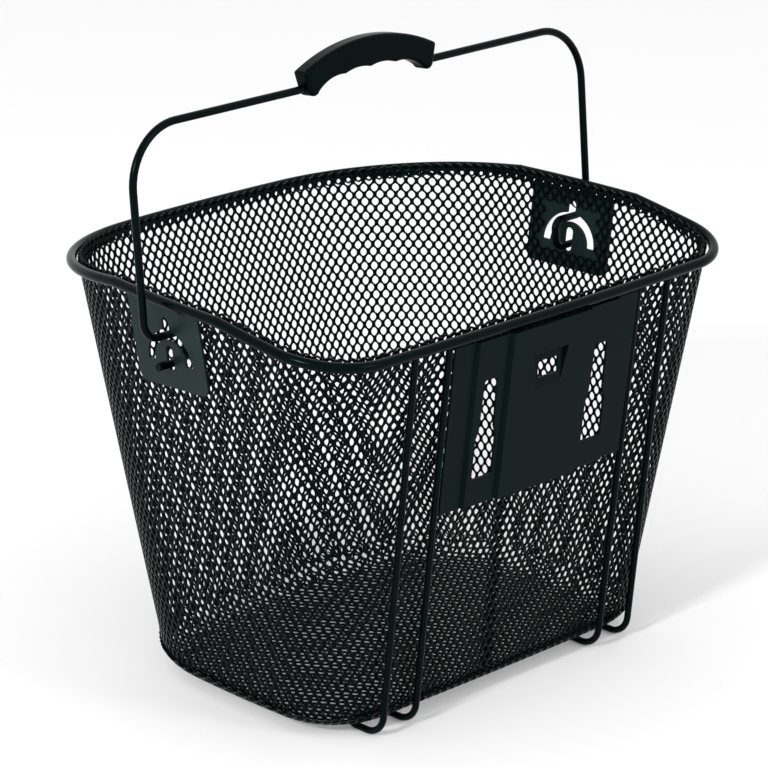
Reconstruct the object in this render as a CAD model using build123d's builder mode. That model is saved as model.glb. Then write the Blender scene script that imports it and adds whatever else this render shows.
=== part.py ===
"""Handlebar basket: expanded-metal basket with a bracket plate and a folding wire bail.

+Z is up, +Y is the direction of travel and -Y faces the handlebar. The origin is under the middle
of the basket's bounding box, at the level of the skid feet.
"""
from build123d import *
from math import atan2, cos, degrees, radians, sin
import os

os.makedirs("parts", exist_ok=True)

# ---- driving dimensions, millimetres and degrees ----

# Basket wall, outer face. Each outline is a four-sided figure with bowed sides and rounded corners.
foot_z = 24.0
foot_rear = (137.8, -114.4)
foot_front = (135.8, 60.7)
foot_bows = (2.0, 15.5, 4.7)
foot_radii = (47.0, 72.0)
brow_z = 246.5
brow_rear = (166.0, -135.1)
brow_front = (144.5, 130.5)
brow_bows = (3.0, 11.0, 11.0)
brow_radii = (39.0, 105.0)
mesh_thickness = 1.7
fold_radius = 18.0
wall_lower_edge = 11.0

# The rim is level over the bail plates and slopes down to the front and to the rear.
rim_level_z = 246.5
rim_edge_z = 234.0
level_half = 44.0
rim_wire_d = 6.0
rim_offset = 3.5

# Floor.
skid_wire_d = 4.0
floor_z = 4.2
flange_top = 16.0

# Bail and its plates.
pivot_y = -9.6
pivot_z = 209.4
bail_lean = 6.15
bail_wire_d = 4.5
bail_half_width = 181.5
bail_height = 133.0
bail_corner_r = 34.0
bail_toe_r = 10.0
crossing_radius = 16.6
inner_leg_x = 152.0
stub_end_x = 173.5
plate_width = 61.0
plate_bottom_z = 195.0
plate_top_z = 243.0
plate_thickness = 1.5
plate_corner_r = 6.0
left_plate_turn = 5.0
arch_slot = 5.8
notch_width = 6.0
notch_top = 27.0
pivot_slot = (-4.3, 10.4)
mesh_lap = 9.0

# Grip, measured in the bail's plane from the pivot line.
grip_half = 53.0
grip_top = 155.5
grip_shoulder = 143.0
grip_cusp = 137.0
grip_lobe = 128.5
grip_thickness = 11.0
finger_pitch = 20.3

# Bracket plate on the rear wall.
bracket_top_z = 230.8
bracket_bottom_z = 131.0
bracket_half = 75.5
bracket_step_a = 57.8
bracket_step_b = 32.2
bracket_sheet = 1.5
slot_x = 45.4
slot_top_z = 207.0
slot_shoulder_z = 174.0
slot_bottom_z = 147.5
slot_neck = 10.4
slot_wide = 16.6
latch_size = (16.8, 9.6)
latch_z = 203.5
pocket_size = (29.0, 21.0)
pocket_foot = 20.0

# Stays: one hairpin of wire each side of the bracket plate, its closed end folded under the floor.
stay_outer_x = 104.0
stay_inner_x = 77.9
stay_top_z = 230.8
stay_fold_r = 13.0
stay_bend_r = 8.0
skid_length = 28.0


def mix(low, high, height):
    """Value at a height, in proportion between the foot outline and the brow outline."""
    share = (height - foot_z) / (brow_z - foot_z)
    return low + (high - low) * share


def wall_corner(low, high, height):
    """One corner of the wall's unrounded outline at a height."""
    return (mix(low[0], high[0], height), mix(low[1], high[1], height))


def wall_section(height, grow=0.0):
    """Sketch of the wall's outer outline at a height, moved outward by grow."""
    rear_x, rear_y = wall_corner(foot_rear, brow_rear, height)
    front_x, front_y = wall_corner(foot_front, brow_front, height)
    rear_bow = mix(foot_bows[0], brow_bows[0], height)
    front_bow = mix(foot_bows[1], brow_bows[1], height)
    end_bow = mix(foot_bows[2], brow_bows[2], height)
    with BuildSketch(Plane.XY.offset(height)) as section:
        with BuildLine():
            SagittaArc((-rear_x, rear_y), (rear_x, rear_y), -rear_bow)
            SagittaArc((rear_x, rear_y), (front_x, front_y), -end_bow)
            SagittaArc((front_x, front_y), (-front_x, front_y), -front_bow)
            SagittaArc((-front_x, front_y), (-rear_x, rear_y), -end_bow)
        make_face()
        rear_vertices = section.vertices().group_by(Axis.Y)[0]
        fillet(rear_vertices, radius=mix(foot_radii[0], brow_radii[0], height))
        front_vertices = section.vertices().group_by(Axis.Y)[-1]
        fillet(front_vertices, radius=mix(foot_radii[1], brow_radii[1], height))
        if grow:
            offset(amount=grow)
    return section.sketch


def basket_block(grow, bottom_z, fold):
    """Solid tub of the wall's outline, moved outward by grow, with its bottom edge rounded."""
    with BuildPart() as block:
        loft(sections=[wall_section(bottom_z, grow), wall_section(brow_z + 8, grow)])
        fillet(block.faces().sort_by(Axis.Z)[0].edges(), radius=fold)
    return block.part


def end_wall_x(y, height):
    """Distance of the end wall's outer face from the middle plane."""
    rear_x, rear_y = wall_corner(foot_rear, brow_rear, height)
    front_x, front_y = wall_corner(foot_front, brow_front, height)
    share = (y - rear_y) / (front_y - rear_y)
    bow = mix(foot_bows[2], brow_bows[2], height)
    return rear_x + (front_x - rear_x) * share + 4 * bow * share * (1 - share)


def rear_wall_y(x, height):
    """Y of the rear wall's outer face."""
    rear_x, rear_y = wall_corner(foot_rear, brow_rear, height)
    return rear_y - mix(foot_bows[0], brow_bows[0], height) * (1 - (x / rear_x) ** 2)


def rim_height(y):
    """Height of the rim wire's centre line at a depth y."""
    beyond = abs(y - pivot_y) - level_half
    reach = (rim_front_y if y > pivot_y else -rim_rear_y) - level_half
    reach += -pivot_y if y > pivot_y else pivot_y
    return rim_level_z - (rim_level_z - rim_edge_z) * max(0.0, beyond) / reach


rim_front_y = brow_front[1] + brow_bows[1] - 1.0
rim_rear_y = brow_rear[1] - brow_bows[0] - 2.0
level_front_y = pivot_y + level_half
level_rear_y = pivot_y - level_half

# ---- basket mesh ----

# Everything above this profile is cut away, so the mesh ends inside the rim wire.
with BuildPart() as above_rim:
    with BuildSketch(Plane.YZ) as above_rim_profile:
        with BuildLine():
            Polyline(
                (rim_rear_y - 30, 300),
                (rim_rear_y - 30, rim_edge_z),
                (rim_rear_y, rim_edge_z),
                (level_rear_y, rim_level_z),
                (level_front_y, rim_level_z),
                (rim_front_y, rim_edge_z),
                (rim_front_y + 30, rim_edge_z),
                (rim_front_y + 30, 300),
                close=True,
            )
        make_face()
    extrude(amount=250, both=True)

with BuildPart() as mesh_wall:
    add(basket_block(0.0, floor_z + mesh_thickness + 0.1, fold_radius))
    add(
        basket_block(-mesh_thickness, floor_z + 2 * mesh_thickness + 0.1, fold_radius - mesh_thickness),
        mode=Mode.SUBTRACT,
    )
    split(bisect_by=Plane.XY.offset(wall_lower_edge), keep=Keep.TOP)
    add(above_rim.part, mode=Mode.SUBTRACT)
    # Window behind each bail plate, with the mesh lapping the plate's border.
    with BuildSketch(Plane.YZ):
        window_low = plate_bottom_z + mesh_lap
        window_high = plate_top_z - mesh_lap
        with Locations((pivot_y, (window_low + window_high) / 2)):
            Rectangle(plate_width - 2 * mesh_lap, window_high - window_low)
    extrude(amount=250, both=True, mode=Mode.SUBTRACT)
    # Window behind the bracket plate.
    with BuildSketch(Plane.XZ):
        window_low = bracket_bottom_z + mesh_lap
        window_high = bracket_top_z - mesh_lap / 2
        with Locations((0, (window_low + window_high) / 2)):
            Rectangle(2 * (bracket_half - mesh_lap), window_high - window_low)
    extrude(amount=250, mode=Mode.SUBTRACT)

with BuildPart() as mesh_floor:
    add(basket_block(mesh_thickness + 0.1, floor_z, fold_radius + mesh_thickness + 0.1))
    add(
        basket_block(0.1, floor_z + mesh_thickness, fold_radius + 0.1),
        mode=Mode.SUBTRACT,
    )
    split(bisect_by=Plane.XY.offset(flange_top), keep=Keep.BOTTOM)

# ---- rim wire ----


def rim_outline(plane, slope_deg, edge_y):
    """Closed centre line of the rim drawn in one of its three planes."""
    stretch = 1 / cos(radians(slope_deg))
    rear_x, rear_y = wall_corner(foot_rear, brow_rear, rim_height(brow_rear[1]))
    front_x, front_y = wall_corner(foot_front, brow_front, rim_height(brow_front[1]))
    rear_v = (rear_y - edge_y) * stretch
    front_v = (front_y - edge_y) * stretch
    middle_share = (pivot_y - rear_y) / (front_y - rear_y)
    chord_x = rear_x + (front_x - rear_x) * middle_share
    end_bow = end_wall_x(pivot_y, rim_level_z) - chord_x
    with BuildSketch(plane) as section:
        with BuildLine():
            SagittaArc((-rear_x, rear_v), (rear_x, rear_v), -brow_bows[0])
            SagittaArc((rear_x, rear_v), (front_x, front_v), -end_bow)
            SagittaArc((front_x, front_v), (-front_x, front_v), -brow_bows[1])
            SagittaArc((-front_x, front_v), (-rear_x, rear_v), -end_bow)
        make_face()
        fillet(section.sketch_local.vertices().group_by(Axis.Y)[0], radius=brow_radii[0])
        fillet(section.sketch_local.vertices().group_by(Axis.Y)[-1], radius=brow_radii[1])
        offset(amount=rim_offset)
    return section.sketch.face().outer_wire()


def rim_stretch(plane, slope_deg, edge_y, cuts):
    """Rim wire in one plane, cut square where it bends into the next length."""
    with BuildPart() as length:
        with BuildLine() as path:
            add(rim_outline(plane, slope_deg, edge_y))
            for cut_plane, side in cuts:
                split(bisect_by=cut_plane, keep=side)
        for centre_line in path.wires():
            with BuildSketch(Plane(origin=centre_line @ 0, z_dir=centre_line % 0)):
                Circle(rim_wire_d / 2)
            sweep(path=centre_line)
    return length.part


drop = rim_level_z - rim_edge_z
front_slope = degrees(atan2(drop, rim_front_y - level_front_y))
rear_slope = degrees(atan2(drop, level_rear_y - rim_rear_y))
front_cut = Plane.XZ.offset(-level_front_y)
rear_cut = Plane.XZ.offset(-level_rear_y)
level_plane = Plane.XY.offset(rim_level_z)
front_plane = Plane(
    origin=(0, level_front_y, rim_level_z),
    x_dir=(1, 0, 0),
    z_dir=(0, sin(radians(front_slope)), cos(radians(front_slope))),
)
rear_plane = Plane(
    origin=(0, level_rear_y, rim_level_z),
    x_dir=(1, 0, 0),
    z_dir=(0, -sin(radians(rear_slope)), cos(radians(rear_slope))),
)

# The ends of each length meet at a slight angle; a ball fills each of the four bends.
with BuildLine() as level_line:
    add(rim_outline(level_plane, 0, 0))
    split(bisect_by=front_cut, keep=Keep.TOP)
    split(bisect_by=rear_cut, keep=Keep.BOTTOM)
rim_bend_points = [end for side in level_line.wires() for end in (side @ 0, side @ 1)]
with BuildPart() as rim_wire:
    add(rim_stretch(front_plane, front_slope, level_front_y, [(front_cut, Keep.BOTTOM)]))
    add(rim_stretch(rear_plane, rear_slope, level_rear_y, [(rear_cut, Keep.TOP)]))
    with Locations(*rim_bend_points):
        Sphere(rim_wire_d / 2 + 0.05)
    add(rim_stretch(level_plane, 0, 0, [(front_cut, Keep.TOP), (rear_cut, Keep.BOTTOM)]))

# ---- bail plates ----

plate_mid_z = (plate_bottom_z + plate_top_z) / 2
plate_across = Vector(
    end_wall_x(pivot_y + 25, plate_mid_z) - end_wall_x(pivot_y - 25, plate_mid_z), 50, 0
)
plate_rise = Vector(
    end_wall_x(pivot_y, plate_top_z) - end_wall_x(pivot_y, plate_bottom_z),
    0,
    plate_top_z - plate_bottom_z,
)
plate_plane = Plane(
    origin=(end_wall_x(pivot_y, plate_mid_z) + 0.15, pivot_y, plate_mid_z),
    x_dir=plate_across,
    z_dir=plate_across.cross(plate_rise),
)


def bail_plate(turn_deg):
    """Bail plate of the right end, turned about the pivot with its top towards the front."""
    turn = radians(turn_deg)
    pivot_v = pivot_z - plate_mid_z
    reach = plate_rise.length / 2 + 6
    lift = reach - plate_rise.length / 2 - pivot_v
    with BuildPart() as plate:
        with BuildSketch(plate_plane) as plate_outline:
            with Locations((lift * sin(turn), pivot_v + lift * cos(turn))):
                Rectangle(plate_width, 2 * reach, rotation=-turn_deg)
            fillet(plate_outline.sketch_local.vertices().sort_by(Axis.Y)[0:2], radius=plate_corner_r)
            with Locations((0, -plate_width)):
                Rectangle(2 * plate_width, plate_rise.length + 2 * plate_width, mode=Mode.INTERSECT)
        extrude(amount=plate_thickness)
        # Half-ring slot for the crossing, its notch, and the short slot for the stub.
        slot_plane = Plane(
            origin=(100, pivot_y, pivot_z), x_dir=(0, cos(turn), -sin(turn)), z_dir=(1, 0, 0)
        )
        with BuildSketch(slot_plane):
            Circle(crossing_radius + arch_slot / 2)
            Circle(crossing_radius - arch_slot / 2, mode=Mode.SUBTRACT)
            with Locations((0, -crossing_radius)):
                Rectangle(3 * crossing_radius, 2 * crossing_radius, mode=Mode.SUBTRACT)
            notch_rise = notch_top - notch_width / 2 - crossing_radius
            with Locations((0, crossing_radius + notch_rise / 2)):
                Rectangle(notch_width, notch_rise)
            with Locations((0, notch_top - notch_width / 2)):
                Circle(notch_width / 2)
            with Locations((0, sum(pivot_slot) / 2)):
                SlotOverall(pivot_slot[1] - pivot_slot[0], arch_slot, rotation=90)
        extrude(amount=100, mode=Mode.SUBTRACT)
    return plate.part


with BuildPart() as bail_plate_right:
    add(bail_plate(0))

with BuildPart() as bail_plate_left:
    add(bail_plate(left_plate_turn).mirror(Plane.YZ))

# ---- bail ----

bail_plane = Plane(
    origin=(0, pivot_y, pivot_z),
    x_dir=(1, 0, 0),
    z_dir=(0, -cos(radians(bail_lean)), sin(radians(bail_lean))),
)
hump_x = 22.0
hump_top = 147.0
bail_corners = [
    (stub_end_x, 0),
    (inner_leg_x, 0),
    (inner_leg_x, crossing_radius),
    (bail_half_width, crossing_radius),
    (bail_half_width, bail_height),
    (grip_half - 1, bail_height),
    (hump_x, hump_top),
]
bail_bends = [5.5, 5.5, bail_toe_r, bail_corner_r, 14, 70]


def bail_route():
    """Centre line of the bail wire from one stub to the other."""
    left = [(-x, height) for x, height in reversed(bail_corners)]
    with BuildLine(bail_plane) as route:
        FilletPolyline(*bail_corners, *left, radius=bail_bends + bail_bends[::-1])
    return route.line


def bent_wire(centre_line, diameter):
    """Round wire along a centre line."""
    with BuildPart() as wire:
        with BuildSketch(Plane(origin=centre_line @ 0, z_dir=centre_line % 0)):
            Circle(diameter / 2)
        sweep(path=centre_line)
    return wire.part


with BuildPart() as bail_wire:
    add(bent_wire(bail_route().wires()[0], bail_wire_d))

# ---- grip, two shells closed round the wire ----


def grip_shell(direction):
    """One half of the grip, on one side of the bail's plane."""
    foot_x = grip_half - 3.5
    inner_x = grip_half - 11
    lobe_x = (foot_x + inner_x) / 2
    base = grip_lobe + 2.2
    outer_groove = ((inner_x + finger_pitch) / 2, (base + grip_cusp) / 2 + 2.4)
    inner_groove = (finger_pitch / 2, grip_cusp + 1.9)
    with BuildPart() as shell:
        with BuildSketch(bail_plane) as outline:
            with BuildLine():
                ThreePointArc((-grip_half, grip_shoulder), (0, grip_top), (grip_half, grip_shoulder))
                for side in (-1, 1):
                    points = [(side * x, height) for x, height in (
                        (grip_half, grip_shoulder), (foot_x, base), (lobe_x, grip_lobe), (inner_x, base),
                        outer_groove, (finger_pitch, grip_cusp), inner_groove, (0, grip_cusp + 0.8)
                    )]
                    Line(points[0], points[1])
                    ThreePointArc(*points[1:4])
                    ThreePointArc(*points[3:6])
                    ThreePointArc(*points[5:8])
            make_face()
            fillet(outline.vertices(), radius=1.6)
        extrude(amount=direction * grip_thickness / 2)
        faces = shell.faces().sort_by(Axis(bail_plane.origin, bail_plane.z_dir * direction))
        fillet(faces[-1].edges(), radius=2.2)
        add(bent_wire(bail_route().wires()[0], bail_wire_d + 0.1), mode=Mode.SUBTRACT)
    return shell.part


with BuildPart() as grip_rear:
    add(grip_shell(1))

with BuildPart() as grip_front:
    add(grip_shell(-1))

# ---- bracket plate ----

bracket_low = Vector(0, rear_wall_y(0, bracket_bottom_z), bracket_bottom_z)
bracket_high = Vector(0, rear_wall_y(0, bracket_top_z), bracket_top_z)
bracket_up = (bracket_high - bracket_low).normalized()
bracket_length = (bracket_high - bracket_low).length
bracket_plane = Plane(origin=bracket_low, x_dir=(1, 0, 0), z_dir=Vector(1, 0, 0).cross(bracket_up))
section_plane = Plane(origin=bracket_low, x_dir=(1, 0, 0), z_dir=bracket_up)
side_plane = Plane(origin=bracket_low, x_dir=bracket_plane.z_dir, z_dir=(-1, 0, 0))
flange_depth = 3.3
step_depth = 5.2
panel_depth = 7.2
step_run = 0.7
panel_face = panel_depth + bracket_sheet / 2
pocket_top = latch_z + 10.5 - bracket_bottom_z
pocket_low = pocket_top - pocket_size[1]
pocket_depth = 2.6


def bracket_slot(side):
    """Keyhole outline with a narrow neck above a wide foot, on one side of the middle."""
    neck = slot_neck / 2
    wide = slot_wide / 2
    top = slot_top_z - bracket_bottom_z
    shoulder = slot_shoulder_z - bracket_bottom_z
    bottom = slot_bottom_z - bracket_bottom_z
    with BuildSketch() as outline:
        with Locations((side * slot_x, 0)):
            Polygon(
                (-neck, top),
                (-neck - 1, shoulder + 3),
                (-wide, shoulder - 2),
                (-wide, bottom),
                (wide, bottom),
                (wide, shoulder - 2),
                (neck + 1, shoulder + 3),
                (neck, top),
                align=None,
            )
        fillet(outline.vertices(), radius=1.6)
    return outline.sketch


def pocket_wedge(front, behind, grow):
    """Wedge of the pocket between a front level and its sloping floor, wider by grow at each side."""
    with BuildPart() as wedge:
        with BuildSketch(side_plane):
            Polygon(
                (front, pocket_top + grow),
                (panel_face - pocket_depth - behind, pocket_top + grow),
                (panel_face - behind, pocket_low),
                (front, pocket_low),
                align=None,
            )
        extrude(amount=pocket_size[0], both=True)
        with BuildSketch(bracket_plane):
            Polygon(
                (-pocket_size[0] / 2 - grow, pocket_top + grow),
                (-pocket_foot / 2 - grow, pocket_low),
                (pocket_foot / 2 + grow, pocket_low),
                (pocket_size[0] / 2 + grow, pocket_top + grow),
                align=None,
            )
        extrude(amount=20, mode=Mode.INTERSECT)
    return wedge.part


with BuildPart() as adapter_plate:
    # Pressed section: flanges at the sides and two steps out to the middle panel.
    with BuildSketch(section_plane):
        with BuildLine():
            Polyline(
                (0, -panel_depth),
                (bracket_step_b - step_run, -panel_depth),
                (bracket_step_b + step_run, -step_depth),
                (bracket_step_a - step_run, -step_depth),
                (bracket_step_a + step_run, -flange_depth),
                (bracket_half - bracket_sheet / 2, -flange_depth),
            )
            mirror(about=Plane.YZ)
            offset(amount=bracket_sheet / 2, side=Side.BOTH, kind=Kind.INTERSECTION)
        make_face()
    extrude(amount=bracket_length)
    # Wedge-shaped pocket over the latch window, deepest and widest at its top.
    add(pocket_wedge(panel_face - 1.4, bracket_sheet, 1.4))
    add(pocket_wedge(panel_face + 1, 0.0, 0.0), mode=Mode.SUBTRACT)
    with BuildSketch(bracket_plane):
        add(bracket_slot(1))
        add(bracket_slot(-1))
        with Locations((0, latch_z - bracket_bottom_z)):
            Rectangle(*latch_size)
    extrude(amount=20, mode=Mode.SUBTRACT)

# ---- stays ----

# Each leg runs from the rim down the wall, then under the floor to the closed end of the hairpin.


def stay_leg(x, height, clearance):
    """Centre of a stay's leg beside the rear wall."""
    return (x, rear_wall_y(x, height) - skid_wire_d / 2 - clearance, height)


foot_height = skid_wire_d / 2
fold_y = stay_leg(stay_inner_x, foot_z, 2.4)[1] + 2
stay_points = [
    stay_leg(stay_outer_x, stay_top_z, 0.35),
    (stay_outer_x, fold_y, foot_height),
    (stay_outer_x, fold_y + skid_length, foot_height),
    (stay_inner_x, fold_y + skid_length, foot_height),
    (stay_inner_x, fold_y, foot_height),
    stay_leg(stay_inner_x, stay_top_z, 0.35),
]
stay_bends = [stay_fold_r, stay_bend_r, stay_bend_r, stay_fold_r]
with BuildPart() as stay_right:
    with BuildLine() as stay_line:
        FilletPolyline(*stay_points, radius=stay_bends)
    add(bent_wire(stay_line.wires()[0], skid_wire_d))

with BuildPart() as stay_left:
    mirror(stay_right.part, about=Plane.YZ)

# ---- named pieces ----

mesh_wall.part.label = "mesh_wall"
mesh_floor.part.label = "mesh_floor"
rim_wire.part.label = "rim_wire"
stay_left.part.label = "stay_left"
stay_right.part.label = "stay_right"
adapter_plate.part.label = "adapter_plate"
bail_plate_left.part.label = "bail_plate_left"
bail_plate_right.part.label = "bail_plate_right"
bail_wire.part.label = "bail_wire"
grip_front.part.label = "grip_front"
grip_rear.part.label = "grip_rear"

export_step(mesh_wall.part, "parts/mesh_wall.step")
export_step(mesh_floor.part, "parts/mesh_floor.step")
export_step(rim_wire.part, "parts/rim_wire.step")
export_step(stay_left.part, "parts/stay_left.step")
export_step(stay_right.part, "parts/stay_right.step")
export_step(adapter_plate.part, "parts/adapter_plate.step")
export_step(bail_plate_left.part, "parts/bail_plate_left.step")
export_step(bail_plate_right.part, "parts/bail_plate_right.step")
export_step(bail_wire.part, "parts/bail_wire.step")
export_step(grip_front.part, "parts/grip_front.step")
export_step(grip_rear.part, "parts/grip_rear.step")
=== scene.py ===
"""Looks for the handlebar basket: expanded metal built hole by hole, powder coat, light and camera.

The CAD frame holds throughout: +Z up, +Y the direction of travel, the bracket plate on -Y. Shapes
are worked out in millimetres and handed to Blender in metres.
"""
import math

import bpy
import numpy as np
from mathutils import Matrix, Vector


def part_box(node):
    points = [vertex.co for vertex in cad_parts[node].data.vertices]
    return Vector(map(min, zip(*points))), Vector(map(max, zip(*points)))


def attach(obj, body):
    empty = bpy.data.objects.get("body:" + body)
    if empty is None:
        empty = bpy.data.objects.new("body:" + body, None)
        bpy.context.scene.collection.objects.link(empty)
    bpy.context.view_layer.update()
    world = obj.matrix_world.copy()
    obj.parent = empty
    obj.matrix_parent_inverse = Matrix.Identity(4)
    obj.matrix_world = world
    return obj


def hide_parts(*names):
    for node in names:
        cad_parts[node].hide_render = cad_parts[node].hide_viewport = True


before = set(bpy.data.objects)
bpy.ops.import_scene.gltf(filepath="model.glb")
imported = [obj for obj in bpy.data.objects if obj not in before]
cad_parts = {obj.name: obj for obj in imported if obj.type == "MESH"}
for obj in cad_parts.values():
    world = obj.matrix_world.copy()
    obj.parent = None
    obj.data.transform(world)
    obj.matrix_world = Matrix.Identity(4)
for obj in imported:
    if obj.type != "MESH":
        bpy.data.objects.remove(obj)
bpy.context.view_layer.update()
MM = 0.001

# ---- the wall, millimetres: it tapers from the brow outline under the rim to the foot outline ----

FOOT_Z = 24.0
FOOT_REAR = (137.8, -114.4)  # half width and depth of the rear corners, before they are rounded
FOOT_FRONT = (135.8, 60.7)
FOOT_BOWS = (2.0, 15.5, 4.7)  # how far the rear, the front and the ends bulge
FOOT_RADII = (47.0, 72.0)  # of the rear and the front corners
BROW_Z = 246.5
BROW_REAR = (166.0, -135.1)
BROW_FRONT = (144.5, 130.5)
BROW_BOWS = (3.0, 11.0, 11.0)
BROW_RADII = (39.0, 105.0)
ABOVE_BROW = 4.0  # how far above the brow the outlines are worked out
CORNER_CENTRE = 0.7  # roughly where a corner's centre lies, as a share of the way to the corner
FOLD_RADIUS = 18.0
WALL_LEAN = 0.11

# The rim is level over the bail plates and slopes down from there to the front and the rear.
PIVOT_Y = -9.6
LEVEL_HALF = 44.0
RIM_LEVEL_Z = 246.5
RIM_EDGE_Z = 234.0
RIM_INSIDE_FRONT = 1.0
RIM_OUTSIDE_REAR = 2.0

OUTLINE_SAMPLES = 1440
OUTLINE_LEVELS = 64
ARC_SAMPLES = 200

# ---- expanded metal: a cell is one hole and half of each strand round it ----

COLUMNS = 160
SHEET = 1.25
HALF_SHEET = SHEET / 2
ROW_STEP_TOP = 4.25
ROW_STEP_LEVEL = 217.0
ROW_STEP_GAIN = 0.0029
ROWS_ABOVE_RIM = 6.0
FOLD_COVER = 0.80  # share of the fold that the wall's holes follow downwards
LOOP = 12  # points round a hole, and round the border of its cell
HOLE_HALF = (0.33, 0.59)  # half width and half height, in cell units
HOLE_BEVEL = (0.045, 0.065)
HOLE_POWER = 1.6  # 1 gives a diamond, 2 an oval
EDGE_ROUND = 0.28
CELL_STRETCH = 0.045  # how far a cell's pointed ends pass those of an even six-sided cell
KEY_STEPS = 1000  # border points closer than a cell divided by this are one point
SHARP_ANGLE = math.radians(50)

WALL_INSET = 0.2
RIM_CLEARANCE = 0.3
MESH_LAP = 9.0  # how far the mesh reaches behind the edge of a plate
BRACKET_TOP_LAP = MESH_LAP / 2
END_X = 100.0  # beyond this the wall is one of the two ends
REAR_Y = -80.0

HEM_HOLE = (0.20, 0.40)
HEM_ROWS = 2
HEM_ROW = 3.4
HEM_TOP = 0.6
HEM_LEVEL = 240.0
HEM_INSET = 1.5 * SHEET + 0.5
SEAM_X = -15.0
SEAM_SHIFT = (0.3, 0.4)
SEAM_INSET = SHEET + 0.2


# ---------------------------------------------------------------- outline of the wall


def mix(low, high, height):
    """Value at a height, in proportion between the foot outline and the brow outline."""
    share = (height - FOOT_Z) / (BROW_Z - FOOT_Z)
    return low + (high - low) * share


def arc_through(start, end, bow):
    """Centre and radius of the arc from start to end that bulges to its right by bow."""
    half = np.linalg.norm(end - start) / 2
    radius = (half**2 + bow**2) / (2 * bow)
    along = (end - start) / (2 * half)
    right = np.array([along[1], -along[0]])
    return (start + end) / 2 - right * (radius - bow), radius


def circle_crossing(c1, r1, c2, r2, near):
    """The crossing of two circles that is nearest to a point."""
    gap = np.linalg.norm(c2 - c1)
    along = (c2 - c1) / gap
    side = np.array([-along[1], along[0]])
    reach = (r1**2 - r2**2 + gap**2) / (2 * gap)
    rise = math.sqrt(max(0.0, r1**2 - reach**2))
    crossings = [c1 + reach * along + sign * rise * side for sign in (-1, 1)]
    return min(crossings, key=lambda p: np.linalg.norm(p - near))


def direction(centre, point):
    """Angle in which a point lies, seen from a centre."""
    return math.atan2(*(point - centre)[::-1])


def outline_arcs(height):
    """The eight arcs round the wall at a height, from the rear: centre, radius, first, last angle."""
    rear = [mix(a, b, height) for a, b in zip(FOOT_REAR, BROW_REAR)]
    front = [mix(a, b, height) for a, b in zip(FOOT_FRONT, BROW_FRONT)]
    rear_bow, front_bow, end_bow = [mix(a, b, height) for a, b in zip(FOOT_BOWS, BROW_BOWS)]
    rear_r, front_r = [mix(a, b, height) for a, b in zip(FOOT_RADII, BROW_RADII)]
    corners = np.array(
        [(-rear[0], rear[1]), (rear[0], rear[1]), (front[0], front[1]), (-front[0], front[1])]
    )
    bows = (rear_bow, end_bow, front_bow, end_bow)
    radii = (rear_r, rear_r, front_r, front_r)
    sides = [arc_through(corners[i], corners[(i + 1) % 4], bows[i]) for i in range(4)]
    rounds = []
    for i in range(4):
        (c1, r1), (c2, r2) = sides[i - 1], sides[i]
        near = corners[i] * CORNER_CENTRE
        rounds.append((circle_crossing(c1, r1 - radii[i], c2, r2 - radii[i], near), radii[i]))
    arcs = []
    for i in range(4):
        centre, radius = sides[i]
        next_centre = sides[(i + 1) % 4][0]
        before, (after, after_radius) = rounds[i][0], rounds[(i + 1) % 4]
        corner_start = direction(centre, after)
        arcs.append((centre, radius, direction(centre, before), corner_start))
        arcs.append((after, after_radius, corner_start, direction(next_centre, after)))
    return arcs


def outline(height, samples=OUTLINE_SAMPLES):
    """Points and outward normals round the wall at a height, evenly spaced from the rear's middle."""
    height = min(max(height, FOOT_Z), BROW_Z + ABOVE_BROW)
    points, normals = [], []
    for centre, radius, first, last in outline_arcs(height):
        last = first + (last - first) % (2 * math.pi)
        t = np.linspace(first, last, ARC_SAMPLES, endpoint=False)
        n = np.stack([np.cos(t), np.sin(t)], -1)
        points.append(centre + radius * n)
        normals.append(n)
    rear_middle = ARC_SAMPLES // 2
    points = np.roll(np.concatenate(points), -rear_middle, axis=0)
    normals = np.roll(np.concatenate(normals), -rear_middle, axis=0)
    closed = np.vstack([points, points[:1]])
    closed_n = np.vstack([normals, normals[:1]])
    steps = np.linalg.norm(np.diff(closed, axis=0), axis=1)
    length = np.concatenate([[0], np.cumsum(steps)])
    wanted = np.arange(samples) / samples * length[-1]
    out = np.stack([np.interp(wanted, length, closed[:, k]) for k in (0, 1)], -1)
    nrm = np.stack([np.interp(wanted, length, closed_n[:, k]) for k in (0, 1)], -1)
    return out, nrm / np.linalg.norm(nrm, axis=1, keepdims=True)


LEVELS = np.linspace(FOOT_Z, BROW_Z + ABOVE_BROW, OUTLINE_LEVELS)
TABLE = [outline(z) for z in LEVELS]
TABLE_P = np.array([points for points, normals in TABLE])
TABLE_N = np.array([normals for points, normals in TABLE])


def on_outline(turn, height):
    """Points and normals of the wall at fractions of a turn from the rear's middle, at heights."""
    turn, height = np.broadcast_arrays(np.asarray(turn, float), np.asarray(height, float))
    k = (np.clip(height, LEVELS[0], LEVELS[-1]) - LEVELS[0]) / (LEVELS[1] - LEVELS[0])
    k0 = np.clip(k.astype(int), 0, len(LEVELS) - 2)
    share = (k - k0)[..., None]
    n = TABLE_P.shape[1]
    s = (turn % 1.0) * n
    s0 = s.astype(int) % n
    s1 = (s0 + 1) % n
    fs = (s - np.floor(s))[..., None]

    def blend(table):
        low = table[k0, s0] * (1 - fs) + table[k0, s1] * fs
        high = table[k0 + 1, s0] * (1 - fs) + table[k0 + 1, s1] * fs
        return low * (1 - share) + high * share

    return blend(TABLE_P), blend(TABLE_N)


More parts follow.
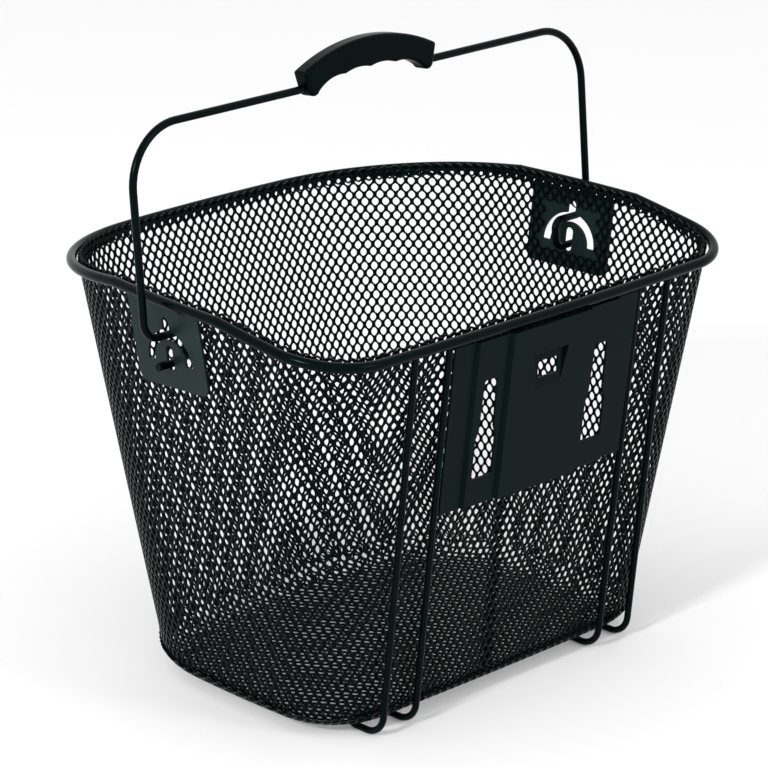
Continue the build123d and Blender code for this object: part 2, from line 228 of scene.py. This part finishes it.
def on_wall(turn, rise, out):
    """Points of the wall: rise is the height, unrolled along the fold below FOOT_Z; out is outward."""
    turn, rise, out = np.broadcast_arrays(turn, rise, out)
    p, n = on_outline(turn, rise)
    lean = np.where(rise >= FOOT_Z, WALL_LEAN, 0.0)
    angle = np.clip((FOOT_Z - rise) / FOLD_RADIUS, 0, None)
    radius = FOLD_RADIUS + out
    inset = FOLD_RADIUS - radius * np.cos(angle)
    x = p[..., 0] - n[..., 0] * inset
    y = p[..., 1] - n[..., 1] * inset
    z = np.where(angle > 0, FOOT_Z - radius * np.sin(angle), rise - lean * out)
    return np.stack([x, y, z], -1)


def rim_height(y):
    """Height of the rim's centre line at a depth y."""
    front_end = BROW_FRONT[1] + BROW_BOWS[1] - RIM_INSIDE_FRONT
    rear_end = BROW_REAR[1] - BROW_BOWS[0] - RIM_OUTSIDE_REAR
    reach_front = front_end - PIVOT_Y - LEVEL_HALF
    reach_rear = PIVOT_Y - rear_end - LEVEL_HALF
    beyond = np.clip(np.abs(y - PIVOT_Y) - LEVEL_HALF, 0, None)
    reach = np.where(y > PIVOT_Y, reach_front, reach_rear)
    return RIM_LEVEL_Z - (RIM_LEVEL_Z - RIM_EDGE_Z) * beyond / reach


# ---------------------------------------------------------------- expanded metal cells


def add_object(name, data):
    """A new object in the scene."""
    thing = bpy.data.objects.new(name, data)
    bpy.context.scene.collection.objects.link(thing)
    return thing


def staggered(columns, rows):
    """Centres of the cells in these columns and rows, every other row half a column over."""
    c, r = np.meshgrid(columns, rows, indexing="ij")
    return np.stack([(c + 0.5 * (r % 2)).ravel(), r.ravel()], -1).astype(float)


def hole_loop(half_u, half_v):
    """Points round a hole in cell units: longer than wide, with pointed ends and soft sides."""
    angles = np.radians(np.arange(LOOP) * 360 / LOOP)
    across = np.abs(np.cos(angles)) ** HOLE_POWER / half_u**HOLE_POWER
    upright = np.abs(np.sin(angles)) ** HOLE_POWER / half_v**HOLE_POWER
    radius = (across + upright) ** (-1 / HOLE_POWER)
    return np.stack([radius * np.cos(angles), radius * np.sin(angles)], -1)


def cell_border():
    """Border points of a cell in cell units: its six corners and the six points between them."""
    y0 = 2 / 3 + CELL_STRETCH
    y1 = 1 - y0
    corners = [(0.5, -y1), (0.5, y1), (0, y0), (-0.5, y1), (-0.5, -y1), (0, -y0)]
    loop = []
    for a, b in zip(corners, corners[1:] + corners[:1]):
        loop.append(((a[0] + b[0]) / 2, (a[1] + b[1]) / 2))
        loop.append(b)
    return np.array(loop)


def expanded_metal(name, cells, place, hole=HOLE_HALF):
    """Mesh of many holes. cells holds (column, row) centres; place maps cell units to space."""
    n = len(cells)
    outer = cells[:, None, :] + cell_border()[None]
    keys = np.round(outer * KEY_STEPS).astype(np.int64).reshape(-1, 2)
    unique, inverse = np.unique(keys, axis=0, return_inverse=True)
    inverse = inverse.reshape(n, LOOP)
    shared = unique / KEY_STEPS
    bevelled = hole_loop(hole[0] + HOLE_BEVEL[0], hole[1] + HOLE_BEVEL[1])
    rim = (cells[:, None, :] + bevelled[None]).reshape(-1, 2)
    wall = (cells[:, None, :] + hole_loop(*hole)[None]).reshape(-1, 2)
    m = len(shared)
    blocks = [
        place(shared, HALF_SHEET),
        place(shared, -HALF_SHEET),
        place(rim, HALF_SHEET),
        place(wall, HALF_SHEET - EDGE_ROUND),
        place(wall, EDGE_ROUND - HALF_SHEET),
        place(rim, -HALF_SHEET),
    ]
    verts = np.concatenate(blocks) * MM
    starts = np.cumsum([0] + [len(block) for block in blocks])
    ring = np.arange(LOOP * n).reshape(n, LOOP)
    loops = [inverse] + [ring + start for start in starts[2:6]] + [inverse + m]
    quads = []
    for a, b in zip(loops[:-1], loops[1:]):
        next_a, next_b = np.roll(a, -1, axis=1), np.roll(b, -1, axis=1)
        quads.append(np.stack([a, next_a, next_b, b], -1).reshape(-1, 4))
    # Side walls along the open border of the sheet, where a cell has no neighbour.
    edges = np.stack([inverse, np.roll(inverse, -1, axis=1)], -1).reshape(-1, 2)
    low_high = np.sort(edges, axis=1)
    _, first, counts = np.unique(low_high, axis=0, return_index=True, return_counts=True)
    start, end = edges[first[counts == 1]].T
    quads.append(np.stack([end, start, start + m, end + m], -1))
    faces = np.concatenate(quads)
    mesh = bpy.data.meshes.new(name)
    mesh.vertices.add(len(verts))
    mesh.vertices.foreach_set("co", verts.astype(np.float32).ravel())
    mesh.loops.add(faces.size)
    mesh.loops.foreach_set("vertex_index", faces.ravel().astype(np.int32))
    mesh.polygons.add(len(faces))
    mesh.polygons.foreach_set("loop_start", (np.arange(len(faces)) * 4).astype(np.int32))
    mesh.polygons.foreach_set("loop_total", np.full(len(faces), 4, np.int32))
    mesh.update(calc_edges=True)
    mesh.validate()
    mesh.shade_smooth()
    mesh.set_sharp_from_angle(angle=SHARP_ANGLE)
    piece = add_object(name, mesh)
    mesh.materials.append(mesh_coat)
    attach(piece, "basket")
    return piece


# ---------------------------------------------------------------- materials

CLOUD_MM = 38.0
CLOUD_RANGE = (0.3, 0.75)
ROUGHNESS_SPREAD = (-0.07, 0.08)
BUMP_STRENGTH = 0.5
COAT_TINT = (0.42, 1.0, 0.94, 1)
PLATE_EDGE = 0.35
PLATE_EDGE_ANGLE = math.radians(25)


def powder_coat(name, colour, shine, roughness, grain_mm, grain_depth, speck):
    """Powder coat or moulded plastic: fine orange-peel bump, mottled colour and gloss."""
    material = bpy.data.materials.new(name)
    material.use_nodes = True
    nodes, links = material.node_tree.nodes, material.node_tree.links
    shader = nodes["Principled BSDF"]
    where = nodes.new("ShaderNodeTexCoord")

    def noise(scale_mm, detail):
        node = nodes.new("ShaderNodeTexNoise")
        node.inputs["Scale"].default_value = 1 / (scale_mm * MM)
        node.inputs["Detail"].default_value = detail
        links.new(where.outputs["Object"], node.inputs["Vector"])
        return node

    grain = noise(grain_mm, 3)
    cloud = noise(CLOUD_MM, 4)
    ramp = nodes.new("ShaderNodeValToRGB")
    for stop, position, change in zip(ramp.color_ramp.elements, CLOUD_RANGE, (1 - speck, 1 + speck)):
        stop.position = position
        stop.color = (*[c * change for c in colour], 1)
    links.new(cloud.outputs["Fac"], ramp.inputs["Fac"])
    links.new(ramp.outputs["Color"], shader.inputs["Base Color"])
    gloss = nodes.new("ShaderNodeMapRange")
    gloss.inputs["To Min"].default_value = roughness + ROUGHNESS_SPREAD[0]
    gloss.inputs["To Max"].default_value = roughness + ROUGHNESS_SPREAD[1]
    links.new(grain.outputs["Fac"], gloss.inputs["Value"])
    links.new(gloss.outputs["Result"], shader.inputs["Roughness"])
    bump = nodes.new("ShaderNodeBump")
    bump.inputs["Strength"].default_value = BUMP_STRENGTH
    bump.inputs["Distance"].default_value = grain_depth * MM
    links.new(grain.outputs["Fac"], bump.inputs["Height"])
    links.new(bump.outputs["Normal"], shader.inputs["Normal"])
    shader.inputs["Specular IOR Level"].default_value = shine
    shader.inputs["Specular Tint"].default_value = COAT_TINT
    return material


mesh_coat = powder_coat("mesh_coat", (0.0004, 0.0012, 0.0011), 0.06, 0.30, 0.9, 0.05, 0.25)
wire_coat = powder_coat("wire_coat", (0.0004, 0.0011, 0.0010), 0.07, 0.22, 1.1, 0.04, 0.25)
plate_coat = powder_coat("plate_coat", (0.0010, 0.0036, 0.0034), 0.05, 0.36, 0.7, 0.08, 0.25)
bail_plate_coat = powder_coat(
    "bail_plate_coat", (0.0060, 0.0120, 0.0114), 0.12, 0.40, 0.7, 0.06, 0.25
)
grip_plastic = powder_coat("grip_plastic", (0.0004, 0.0014, 0.0013), 0.05, 0.30, 0.6, 0.06, 0.25)

for node, material in {
    "rim_wire": wire_coat,
    "stay_left": wire_coat,
    "stay_right": wire_coat,
    "bail_wire": wire_coat,
    "adapter_plate": plate_coat,
    "bail_plate_left": bail_plate_coat,
    "bail_plate_right": bail_plate_coat,
    "grip_front": grip_plastic,
    "grip_rear": grip_plastic,
}.items():
    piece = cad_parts[node]
    piece.data.materials.clear()
    piece.data.materials.append(material)
    if node.startswith(("adapter", "bail_plate")):
        edge = piece.modifiers.new("edge", "BEVEL")
        edge.width = PLATE_EDGE * MM
        edge.segments = 2
        edge.limit_method = "ANGLE"
        edge.angle_limit = PLATE_EDGE_ANGLE

# ---------------------------------------------------------------- the wall


def row_heights():
    """Heights of the rows of holes, unrolled: closer together towards the wider top."""
    rise = FOOT_Z - FOLD_COVER * FOLD_RADIUS
    rows = []
    while rise < RIM_LEVEL_Z + ROWS_ABOVE_RIM:
        rows.append(rise)
        rise += ROW_STEP_TOP + (ROW_STEP_LEVEL - rise) * ROW_STEP_GAIN
    return np.array(rows)


ROWS = row_heights()
MIDDLE = TABLE_P[len(TABLE_P) // 2]
GIRTH = np.linalg.norm(np.roll(MIDDLE, -1, axis=0) - MIDDLE, axis=1).sum()
SEAM_TURN = SEAM_X / GIRTH


def place_wall(points, out):
    """Cell units to the wall's surface. Columns start and end at the seam."""
    turn = SEAM_TURN + points[:, 0] / COLUMNS
    rise = np.interp(points[:, 1], np.arange(len(ROWS)), ROWS)
    return on_wall(turn, rise, out - HALF_SHEET - WALL_INSET)


def within(values, low, high, high_lap=MESH_LAP):
    """Which values, in millimetres, lie between two edges in metres and clear of their laps."""
    return (values * MM > low + MESH_LAP * MM) & (values * MM < high - high_lap * MM)


def wall_cells(first_column, last_column):
    """Centres of the holes in a range of columns, below the rim and outside the windows."""
    cells = staggered(np.arange(first_column, last_column), np.arange(1, len(ROWS) - 1))
    x, y, z = place_wall(cells, 0.0).T
    keep = z < rim_height(y) - RIM_CLEARANCE
    low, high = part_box("bail_plate_right")
    keep &= ~((np.abs(x) > END_X) & within(y, low.y, high.y) & within(z, low.z, high.z))
    low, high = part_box("adapter_plate")
    in_height = within(z, low.z, high.z, BRACKET_TOP_LAP)
    keep &= ~((y < REAR_Y) & within(x, low.x, high.x) & in_height)
    return cells[keep]


SECTORS = 8
step = COLUMNS // SECTORS
wall_pieces = [
    expanded_metal(f"mesh_wall_{k + 1}", wall_cells(k * step, (k + 1) * step), place_wall)
    for k in range(SECTORS)
]
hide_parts("mesh_wall")


def place_hem(points, out):
    """Second layer inside the rim: rows are counted down from just above the rim's centre line."""
    turn = SEAM_TURN + points[:, 0] / COLUMNS
    y = on_outline(turn, HEM_LEVEL)[0][:, 1]
    rise = rim_height(y) + HEM_TOP - points[:, 1] * HEM_ROW
    return on_wall(turn, rise, out - HEM_INSET)


def place_seam(points, out):
    """Lap of the sheet's two ends on the rear wall, one layer inside the other."""
    return place_wall(points + np.array(SEAM_SHIFT), out - SEAM_INSET)


hem_cells = staggered(np.arange(COLUMNS), np.arange(HEM_ROWS))
expanded_metal("mesh_hem", hem_cells, place_hem, HEM_HOLE)
expanded_metal("mesh_seam", wall_cells(-1, 0), place_seam)

# ---------------------------------------------------------------- top return of the bracket plate

PANEL_EDGE, BAND_EDGE = 31.6, 57.2  # half widths of the raised panel and of the lower band beside it
PANEL_OUT, BAND_OUT, FLANGE_OUT, RETURN_IN = 6.5, 4.5, 2.6, 0.3  # distances out from the wall
BEND_RUN = 1.4
RETURN_SHEET = 1.2
RETURN_BELOW_TOP = 0.4
RETURN_SIDE = 0.5

plate_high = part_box("adapter_plate")[1]
half_width = plate_high.x / MM - RETURN_SIDE
ledge_top = plate_high.z / MM - RETURN_BELOW_TOP
ledge_low = ledge_top - RETURN_SHEET
wall_y = on_outline(0.0, ledge_low)[0][1]
right_side = [
    (PANEL_EDGE, PANEL_OUT),
    (PANEL_EDGE + BEND_RUN, BAND_OUT),
    (BAND_EDGE, BAND_OUT),
    (BAND_EDGE + BEND_RUN, FLANGE_OUT),
    (half_width, FLANGE_OUT),
    (half_width, RETURN_IN),
]
ledge_line = right_side + [(-x, out) for x, out in reversed(right_side)]
count = len(ledge_line)
ledge_points = [
    (x * MM, (wall_y - out) * MM, z * MM) for z in (ledge_low, ledge_top) for x, out in ledge_line
]
ledge_faces = [tuple(range(count)), tuple(range(2 * count - 1, count - 1, -1))]
ledge_faces += [(i, i + count, (i + 1) % count + count, (i + 1) % count) for i in range(count)]
ledge_mesh = bpy.data.meshes.new("adapter_plate_return")
ledge_mesh.from_pydata(ledge_points, [], ledge_faces)
ledge = add_object("adapter_plate_return", ledge_mesh)
ledge_mesh.materials.append(plate_coat)
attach(ledge, "basket")

# ---------------------------------------------------------------- the floor

FLOOR_PITCH = 6.1
FLOOR_ROW = 4.35
FLOOR_MIDDLE = (0.0, -20.0)
FLOOR_REACH = 26  # columns and rows each way from the middle, more than the tray needs
TRAY_OUTSIDE = 1.8  # the tray's flange stands this far outside the foot outline
FLOOR_FOLD = FOLD_RADIUS + TRAY_OUTSIDE
FLOOR_Z = 4.2
FLANGE_TOP = 16.0
FLANGE_MARGIN = 2.0
ARC_MARGIN = 2.2
CHUNK = 2000  # points measured at a time, to spare memory
foot_points, foot_normals = outline(FOOT_Z, 2 * OUTLINE_SAMPLES)
foot_points = foot_points + foot_normals * TRAY_OUTSIDE


def floor_plan(points):
    """Cell units to millimetres on the flat floor, before its edge is bent up."""
    return points * np.array([FLOOR_PITCH, FLOOR_ROW]) + np.array(FLOOR_MIDDLE)


def nearest_foot(xy):
    """Nearest points of the foot outline, their normals, and how far inward the given points lie."""
    nearest = np.argmin(((xy[:, None] - foot_points[None]) ** 2).sum(-1), axis=1)
    foot, normal = foot_points[nearest], foot_normals[nearest]
    return foot, normal, ((foot - xy) * normal).sum(-1)


def place_floor(points, out):
    """Cell units to the floor tray: flat in the middle, then bent up round the fold to its edge."""
    xy = floor_plan(points)
    result = np.empty((len(xy), 3))
    for chunk in range(0, len(xy), CHUNK):
        q = xy[chunk : chunk + CHUNK]
        foot, normal, inward = nearest_foot(q)
        along = np.clip(FLOOR_FOLD - inward, 0, None)
        angle = along / FLOOR_FOLD
        radius = FLOOR_FOLD + out
        bent = foot - normal * (FLOOR_FOLD - radius * np.sin(angle))[:, None]
        flat_xy = np.where((along > 0)[:, None], bent, q)
        bent_z = FLOOR_Z + FLOOR_FOLD - radius * np.cos(angle)
        z = np.where(along > 0, bent_z, FLOOR_Z - out)
        result[chunk : chunk + CHUNK] = np.concatenate([flat_xy, z[:, None]], -1)
    return result


def floor_cells(half):
    """Centres of the floor's holes on one side of the middle, up to the flange's top edge."""
    columns = np.arange(0, FLOOR_REACH) if half > 0 else np.arange(-FLOOR_REACH, 0)
    cells = staggered(columns, np.arange(-FLOOR_REACH, FLOOR_REACH + 1))
    at = place_floor(cells, 0.0)
    inward = nearest_foot(floor_plan(cells))[2]
    turned = math.acos(1 - (FLANGE_TOP - ARC_MARGIN - FLOOR_Z) / FLOOR_FOLD)
    reach = FLOOR_FOLD - FLOOR_FOLD * turned
    return cells[(inward > reach) & (at[:, 2] < FLANGE_TOP - FLANGE_MARGIN)]


def place_tray(points, out):
    """The tray's sheet, its outer face on the CAD floor's outer face."""
    return place_floor(points, out - HALF_SHEET)


floor_pieces = [
    expanded_metal(f"mesh_floor_{name}", floor_cells(half), place_tray)
    for name, half in (("left", -1), ("right", 1))
]
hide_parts("mesh_floor")

# ---------------------------------------------------------------- floor of the set, light, camera

CAMERA_DISTANCE = 2.13
SET_HALF = 8.0
WHITE = (1, 1, 1, 1)

centre = Vector((0.0, -0.0105, 0.1206))
azimuth, elevation, roll = math.radians(-45.78), math.radians(20.49), math.radians(1.06)
back = Vector(
    (
        math.sin(azimuth) * math.cos(elevation),
        -math.cos(azimuth) * math.cos(elevation),
        math.sin(elevation),
    )
)
flat_right = Vector((math.cos(azimuth), math.sin(azimuth), 0))
flat_up = back.cross(flat_right)
right = flat_right * math.cos(roll) + flat_up * math.sin(roll)
up = flat_up * math.cos(roll) - flat_right * math.sin(roll)
camera_data = bpy.data.cameras.new("camera")
camera = add_object("camera", camera_data)
facing = Matrix((right, up, back)).transposed().to_4x4()
camera.matrix_world = Matrix.Translation(centre + back * CAMERA_DISTANCE) @ facing
camera_data.sensor_width = 36
camera_data.lens = 169.8
camera_data.shift_x = 0.0065
camera_data.shift_y = 0.0786
camera_data.clip_start, camera_data.clip_end = 0.05, 30
bpy.context.scene.camera = camera

floor_mesh = bpy.data.meshes.new("set_floor")
set_corners = [(x * SET_HALF, y * SET_HALF, 0) for x, y in ((-1, -1), (1, -1), (1, 1), (-1, 1))]
floor_mesh.from_pydata(set_corners, [], [(0, 1, 2, 3)])
floor = add_object("set_floor", floor_mesh)
paper = bpy.data.materials.new("paper")
paper.use_nodes = True
paper_inputs = paper.node_tree.nodes["Principled BSDF"].inputs
paper_inputs["Base Color"].default_value = (0.74, 0.74, 0.74, 1)
paper_inputs["Roughness"].default_value = 0.9
paper_inputs["Emission Color"].default_value = WHITE
paper_inputs["Emission Strength"].default_value = 0.12
floor_mesh.materials.append(paper)

world = bpy.data.worlds.new("studio")
bpy.context.scene.world = world
world.use_nodes = True
world.node_tree.nodes["Background"].inputs["Color"].default_value = WHITE
world.node_tree.nodes["Background"].inputs["Strength"].default_value = 1.0


def softbox(name, place, size, watts):
    """A square area light that faces the basket."""
    data = bpy.data.lights.new(name, "AREA")
    data.size = size
    data.energy = watts
    light = add_object(name, data)
    light.location = place
    light.rotation_mode = "QUATERNION"
    light.rotation_quaternion = (Vector(place) - centre).to_track_quat("Z", "Y")


softbox("key", (-2.3, -0.5, 1.5), 0.35, 42)
softbox("fill", (0.6, -2.4, 1.5), 0.6, 12)
bpy.context.scene.view_settings.view_transform = "Standard"
